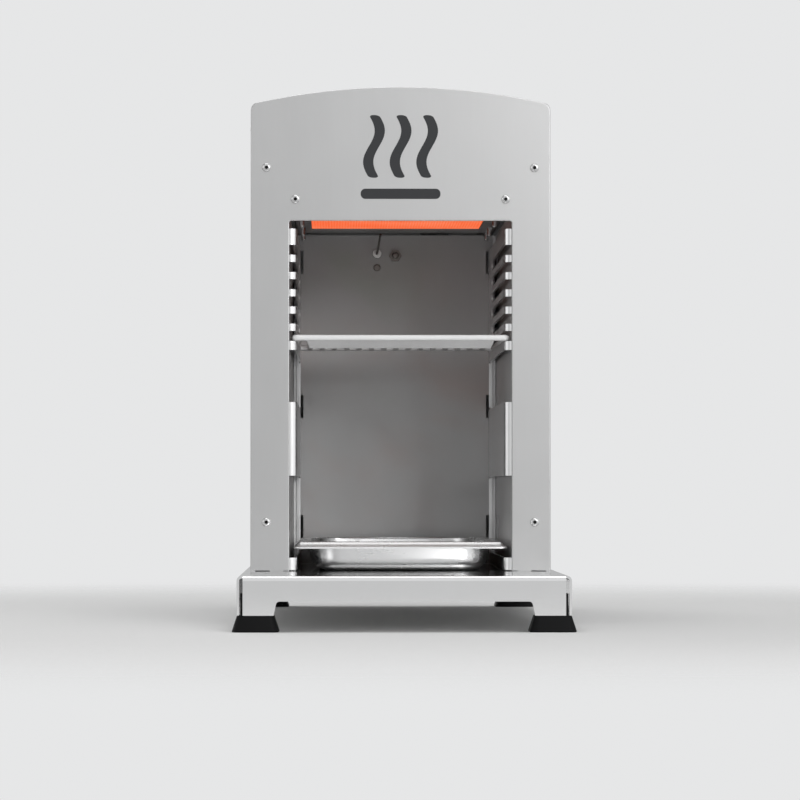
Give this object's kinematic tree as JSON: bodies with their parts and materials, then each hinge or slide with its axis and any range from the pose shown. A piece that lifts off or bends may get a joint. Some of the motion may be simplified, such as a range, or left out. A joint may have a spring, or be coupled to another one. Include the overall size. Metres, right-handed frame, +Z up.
{
  "type": "infrared gas grill",
  "caption": "Tall stainless-steel grill with an open front: a glowing ceramic gas burner above, rack slots with a sliding grate, and a drip pan on a long base with rubber feet.",
  "frame": {"origin": "on the surface that the feet stand on, under the middle of the overall box", "axes": "+Z up, +Y towards the rear panel with the knob, the open front faces -Y"},
  "size_m": [0.2694, 0.7384, 0.4446],
  "materials": {
    "panel_satin": "fine satin stainless sheet",
    "base_bright": "bright, nearly mirror stainless sheet",
    "casing_satin": "fine satin stainless sheet",
    "rack_satin": "satin stainless sheet",
    "wall_heated": "dull stainless sheet, a little heat stained",
    "frame_steel": "plain steel sheet",
    "screw_steel": "plain stainless steel",
    "rubber_black": "matt black",
    "tile_ceramic": "honeycomb ceramic, glowing orange in use",
    "gasket_felt": "white ceramic felt",
    "brass_plain": "plain brass",
    "tube_steel": "plain steel tube",
    "knob_plastic": "satin black",
    "igniter_plastic": "satin black",
    "button_plastic": "gloss red",
    "insulator_ceramic": "white glaze",
    "electrode_steel": "heat stained",
    "lead_silicone": "pale silicone sleeve",
    "lead_copper": "plain copper",
    "pan_satin": "satin stainless steel",
    "grate_bright": "electropolished stainless steel"
  },
  "bodies": {
    "root": {"base_leg_front_left": "base_bright", "base_leg_front_right": "base_bright", "base_leg_rear_left": "base_bright", "base_leg_rear_right": "base_bright", "base_nuts": "screw_steel", "base_plate": "base_bright", "base_screws": "screw_steel", "burner_housing": "frame_steel", "burner_nuts": "screw_steel", "burner_rail_left": "frame_steel", "burner_rail_right": "frame_steel", "burner_studs": "screw_steel", "burner_tiles": "tile_ceramic", "chamber_back_wall": "wall_heated", "chamber_wall_left": "wall_heated", "chamber_wall_right": "wall_heated", "electrode_bracket": "frame_steel", "electrode_ceramic": "insulator_ceramic", "electrode_rod": "electrode_steel", "electrode_screw": "screw_steel", "foot_front_left": "rubber_black", "foot_front_right": "rubber_black", "foot_nuts": "screw_steel", "foot_rear_left": "rubber_black", "foot_rear_right": "rubber_black", "foot_studs": "screw_steel", "front_panel": "panel_satin", "gas_baffle": "frame_steel", "gas_inlet": "brass_plain", "gas_tube": "tube_steel", "heat_shield": "frame_steel", "igniter_body": "igniter_plastic", "igniter_lead": "lead_silicone", "igniter_nut": "igniter_plastic", "igniter_spring": "screw_steel", "injector": "brass_plain", "inlet_nut": "brass_plain", "mixing_tube": "frame_steel", "panel_screws": "screw_steel", "rack_left": "rack_satin", "rack_right": "rack_satin", "rear_panel": "casing_satin", "rear_panel_screws": "screw_steel", "side_panel_left": "casing_satin", "side_panel_right": "casing_satin", "thermocouple": "electrode_steel", "thermocouple_lead": "lead_copper", "thermocouple_nut": "electrode_steel", "tile_gasket": "gasket_felt", "top_cover": "casing_satin", "top_cover_screws": "screw_steel", "valve_body": "brass_plain", "valve_nut": "brass_plain"},
    "drip_pan": {"drip_pan": "pan_satin"},
    "grate": {"grate_frame": "grate_bright", "grate_bars": "grate_bright"},
    "valve_plunger": {"valve_plunger": "screw_steel"},
    "control_knob": {"control_knob": "knob_plastic", "valve_stem": "screw_steel"},
    "igniter_button": {"igniter_button": "button_plastic"}
  },
  "joints": [
    {"name": "pan_slide", "type": "slide", "parent": "root", "child": "drip_pan", "axis": [0, -1, 0], "range_m": [0, 0.19]},
    {"name": "grate_slide", "type": "slide", "parent": "root", "child": "grate", "axis": [0, -1, 0], "range_m": [0, 0.24]},
    {"name": "knob_press", "type": "slide", "parent": "root", "child": "valve_plunger", "axis": [0, -1, 0], "range_m": [0, 0.004], "stiffness_N_per_m": 600, "springref_m": -0.006},
    {"name": "knob_turn", "type": "hinge", "parent": "valve_plunger", "child": "control_knob", "pos_m": [0.038, 0.3051, 0.216], "axis": [0, 1, 0], "range_deg": [0, 225]},
    {"name": "button_press", "type": "slide", "parent": "root", "child": "igniter_button", "axis": [0, -1, 0], "range_m": [0, 0.006], "stiffness_N_per_m": 600, "springref_m": -0.005, "deforming": ["igniter_spring"]}
  ]
}
